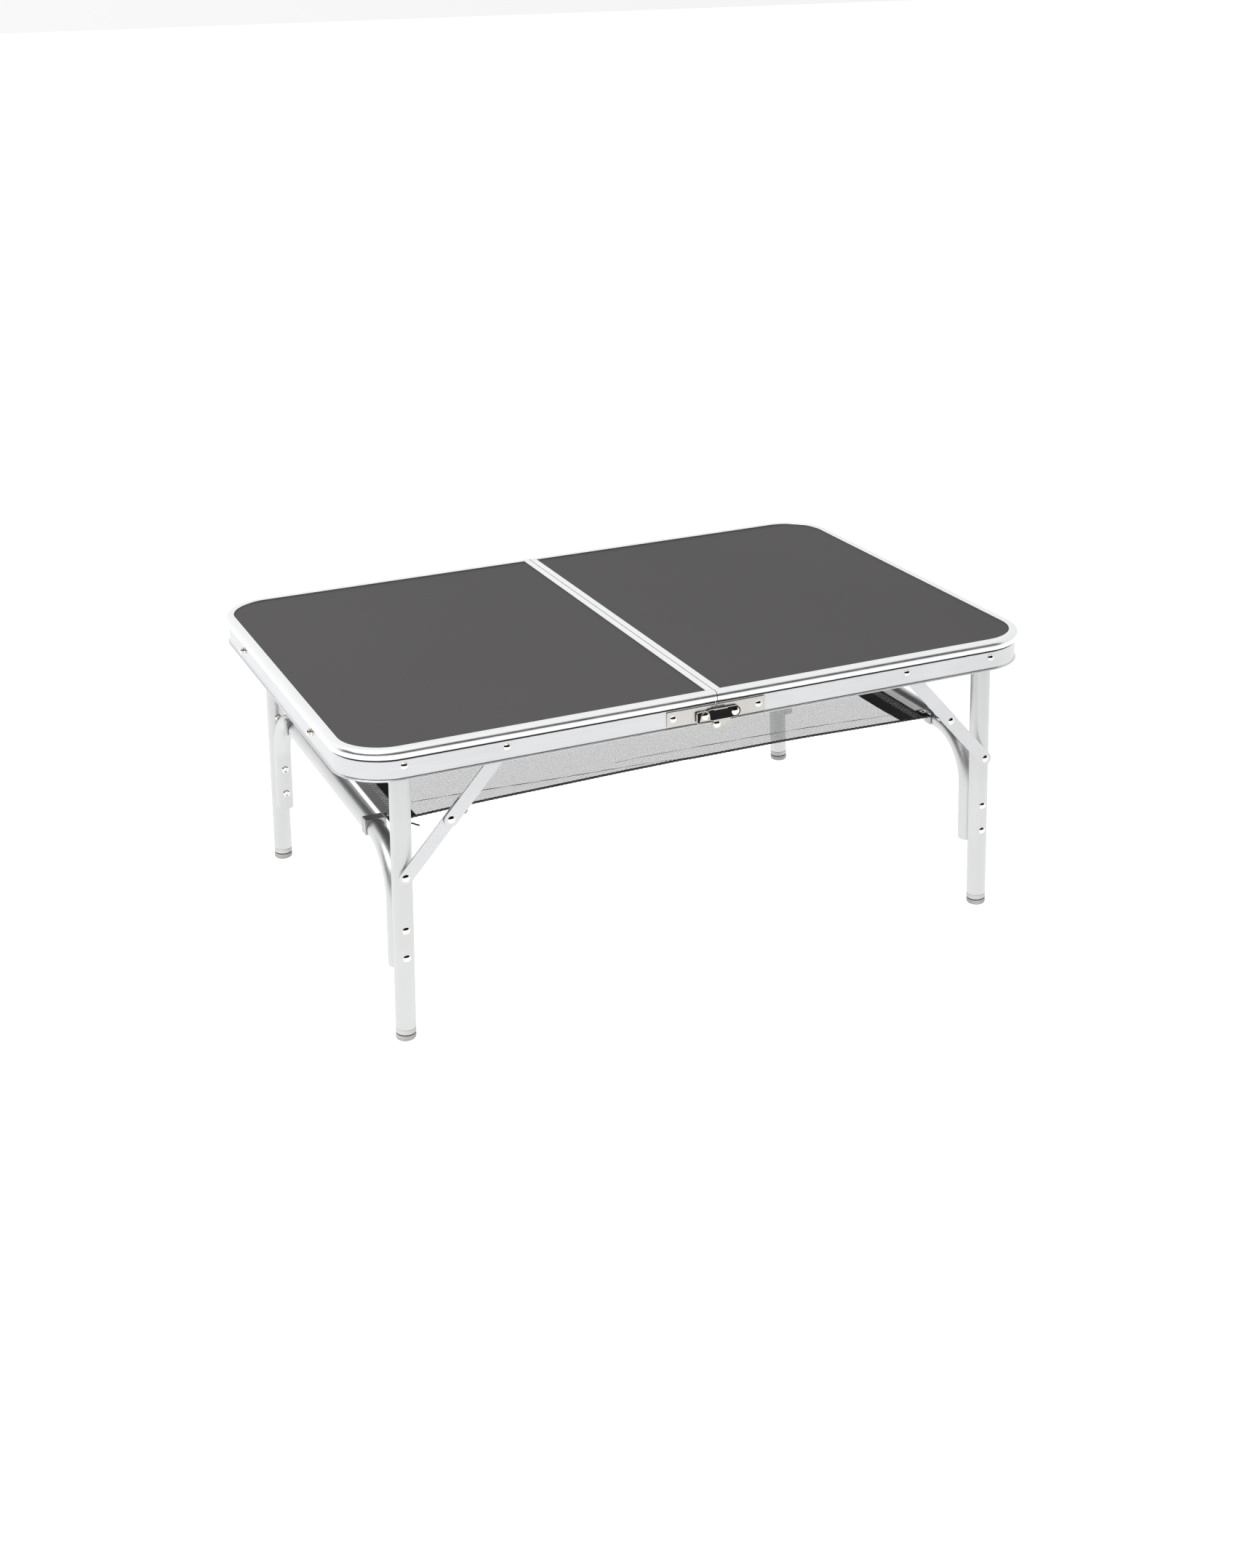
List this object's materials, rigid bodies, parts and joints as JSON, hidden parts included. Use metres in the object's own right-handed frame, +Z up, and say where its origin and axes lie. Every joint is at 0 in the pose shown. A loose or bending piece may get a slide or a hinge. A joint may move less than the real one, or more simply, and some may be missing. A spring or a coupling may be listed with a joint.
{
  "type": "folding camp table",
  "caption": "Low folding camp kitchen table: two dark panels in a rounded metal edge, hinged in the middle, folding leg frames with locking braces and a net shelf.",
  "frame": {"origin": "on the floor under the middle of the table top", "axes": "+X along the table's long side to the right, +Y to the back, +Z up"},
  "size_m": [0.9072, 0.6072, 0.374],
  "materials": {
    "frame": "satin anodised",
    "panel": "dark brown-grey laminate, fine satin grain",
    "tube": "satin anodised",
    "link": "satin",
    "plate": "satin",
    "chrome": "polished",
    "lever": "gloss black",
    "handle": "satin black",
    "clip": "dull zinc",
    "collar": "light grey",
    "foot": "dark grey, ribbed",
    "net": "black woven mesh"
  },
  "bodies": {
    "left_top": {"left_edge_frame": "frame", "left_panel": "panel", "left_seam_strip": "frame", "left_front_leg_pivot": "chrome", "left_back_leg_pivot": "chrome", "left_front_brace_rivet": "chrome", "left_back_brace_rivet": "chrome", "front_left_hinge_plate": "plate", "back_left_hinge_plate": "plate", "front_hinge_pin": "chrome", "back_hinge_pin": "chrome", "front_latch_stud": "chrome", "back_latch_stud": "chrome", "front_end_catch": "chrome", "back_end_catch": "chrome", "net": "net"},
    "right_top": {"right_edge_frame": "frame", "right_panel": "panel", "right_seam_strip": "frame", "right_front_leg_pivot": "chrome", "right_back_leg_pivot": "chrome", "right_front_brace_rivet": "chrome", "right_back_brace_rivet": "chrome", "front_right_hinge_plate": "plate", "back_right_hinge_plate": "plate", "front_handle_bracket": "plate", "back_handle_bracket": "plate"},
    "front_latch": {"front_latch_lever": "lever"},
    "back_latch": {"back_latch_lever": "lever"},
    "front_case_latch": {"front_case_latch": "lever"},
    "back_case_latch": {"back_case_latch": "lever"},
    "handle": {"carry_handle": "handle"},
    "left_legs": {"left_front_leg": "tube", "left_back_leg": "tube", "left_crossbar": "tube", "left_front_foot_collar": "collar", "left_front_foot_cap": "foot", "left_back_foot_collar": "collar", "left_back_foot_cap": "foot"},
    "left_net_bar": {"left_net_strip": "frame", "left_front_net_clip": "clip", "left_back_net_clip": "clip"},
    "left_upper_braces": {"left_front_upper_link": "link", "left_back_upper_link": "link"},
    "left_lower_braces": {"left_front_lower_link": "link", "left_back_lower_link": "link"},
    "right_legs": {"right_front_leg": "tube", "right_back_leg": "tube", "right_crossbar": "tube", "right_front_foot_collar": "collar", "right_front_foot_cap": "foot", "right_back_foot_collar": "collar", "right_back_foot_cap": "foot"},
    "right_net_bar": {"right_net_strip": "frame", "right_front_net_clip": "clip", "right_back_net_clip": "clip"},
    "right_upper_braces": {"right_front_upper_link": "link", "right_back_upper_link": "link"},
    "right_lower_braces": {"right_front_lower_link": "link", "right_back_lower_link": "link"}
  },
  "joints": [
    {"name": "left_leg_fold", "type": "hinge", "parent": "left_top", "child": "left_legs", "pos_m": [-0.3813, 0, 0.3522], "axis": [0, -1, 0], "range_deg": [0, 92.35], "deforming": ["net"]},
    {"name": "left_upper_brace_fold", "type": "hinge", "parent": "left_top", "child": "left_upper_braces", "pos_m": [-0.2607, 0, 0.3522], "axis": [0, -1, 0], "range_deg": [0, 132.15]},
    {"name": "left_lower_brace_fold", "type": "hinge", "parent": "left_legs", "child": "left_lower_braces", "pos_m": [-0.38703, 0, 0.21262], "axis": [0, 1, 0], "range_deg": [0, 140.2]},
    {"name": "left_net_bar_turn", "type": "hinge", "parent": "left_legs", "child": "left_net_bar", "pos_m": [-0.38636, 0, 0.229], "axis": [0, 1, 0], "range_deg": [0, 92.35]},
    {"name": "right_leg_fold", "type": "hinge", "parent": "right_top", "child": "right_legs", "pos_m": [0.3813, 0, 0.3522], "axis": [0, 1, 0], "range_deg": [0, 92.35], "deforming": ["net"]},
    {"name": "right_upper_brace_fold", "type": "hinge", "parent": "right_top", "child": "right_upper_braces", "pos_m": [0.2607, 0, 0.3522], "axis": [0, 1, 0], "range_deg": [0, 132.15]},
    {"name": "right_lower_brace_fold", "type": "hinge", "parent": "right_legs", "child": "right_lower_braces", "pos_m": [0.38703, 0, 0.21262], "axis": [0, -1, 0], "range_deg": [0, 140.2]},
    {"name": "right_net_bar_turn", "type": "hinge", "parent": "right_legs", "child": "right_net_bar", "pos_m": [0.38636, 0, 0.229], "axis": [0, -1, 0], "range_deg": [0, 92.35]},
    {"name": "top_fold", "type": "hinge", "parent": "left_top", "child": "right_top", "pos_m": [0, 0, 0.3345], "axis": [0, 1, 0], "range_deg": [0, 90], "deforming": ["net"]},
    {"name": "front_latch_lift", "type": "hinge", "parent": "right_top", "child": "front_latch", "pos_m": [0.0228, 0, 0.3472], "axis": [0, 1, 0], "range_deg": [0, 90]},
    {"name": "back_latch_lift", "type": "hinge", "parent": "right_top", "child": "back_latch", "pos_m": [0.0228, 0, 0.3472], "axis": [0, 1, 0], "range_deg": [0, 90]},
    {"name": "front_case_latch_swing", "type": "hinge", "parent": "right_top", "child": "front_case_latch", "pos_m": [0.45135, -0.155, 0.354], "axis": [-1, 0, 0], "range_deg": [0, 90]},
    {"name": "back_case_latch_swing", "type": "hinge", "parent": "right_top", "child": "back_case_latch", "pos_m": [0.45135, 0.155, 0.354], "axis": [1, 0, 0], "range_deg": [0, 90]},
    {"name": "handle_swing", "type": "hinge", "parent": "right_top", "child": "handle", "pos_m": [0.45005, 0, 0.3505], "axis": [0, -1, 0], "range_deg": [0, 90]}
  ],
  "couplings": [
    {"joint": "left_net_bar_turn", "follows": "left_leg_fold", "ratio": 1},
    {"joint": "left_upper_brace_fold", "follows": "left_leg_fold", "ratio": 1.4309},
    {"joint": "left_lower_brace_fold", "follows": "left_leg_fold", "ratio": 1.5182},
    {"joint": "right_net_bar_turn", "follows": "right_leg_fold", "ratio": 1},
    {"joint": "right_upper_brace_fold", "follows": "right_leg_fold", "ratio": 1.4309},
    {"joint": "right_lower_brace_fold", "follows": "right_leg_fold", "ratio": 1.5182},
    {"joint": "front_latch_lift", "follows": "top_fold", "ratio": 1},
    {"joint": "back_latch_lift", "follows": "top_fold", "ratio": 1}
  ]
}
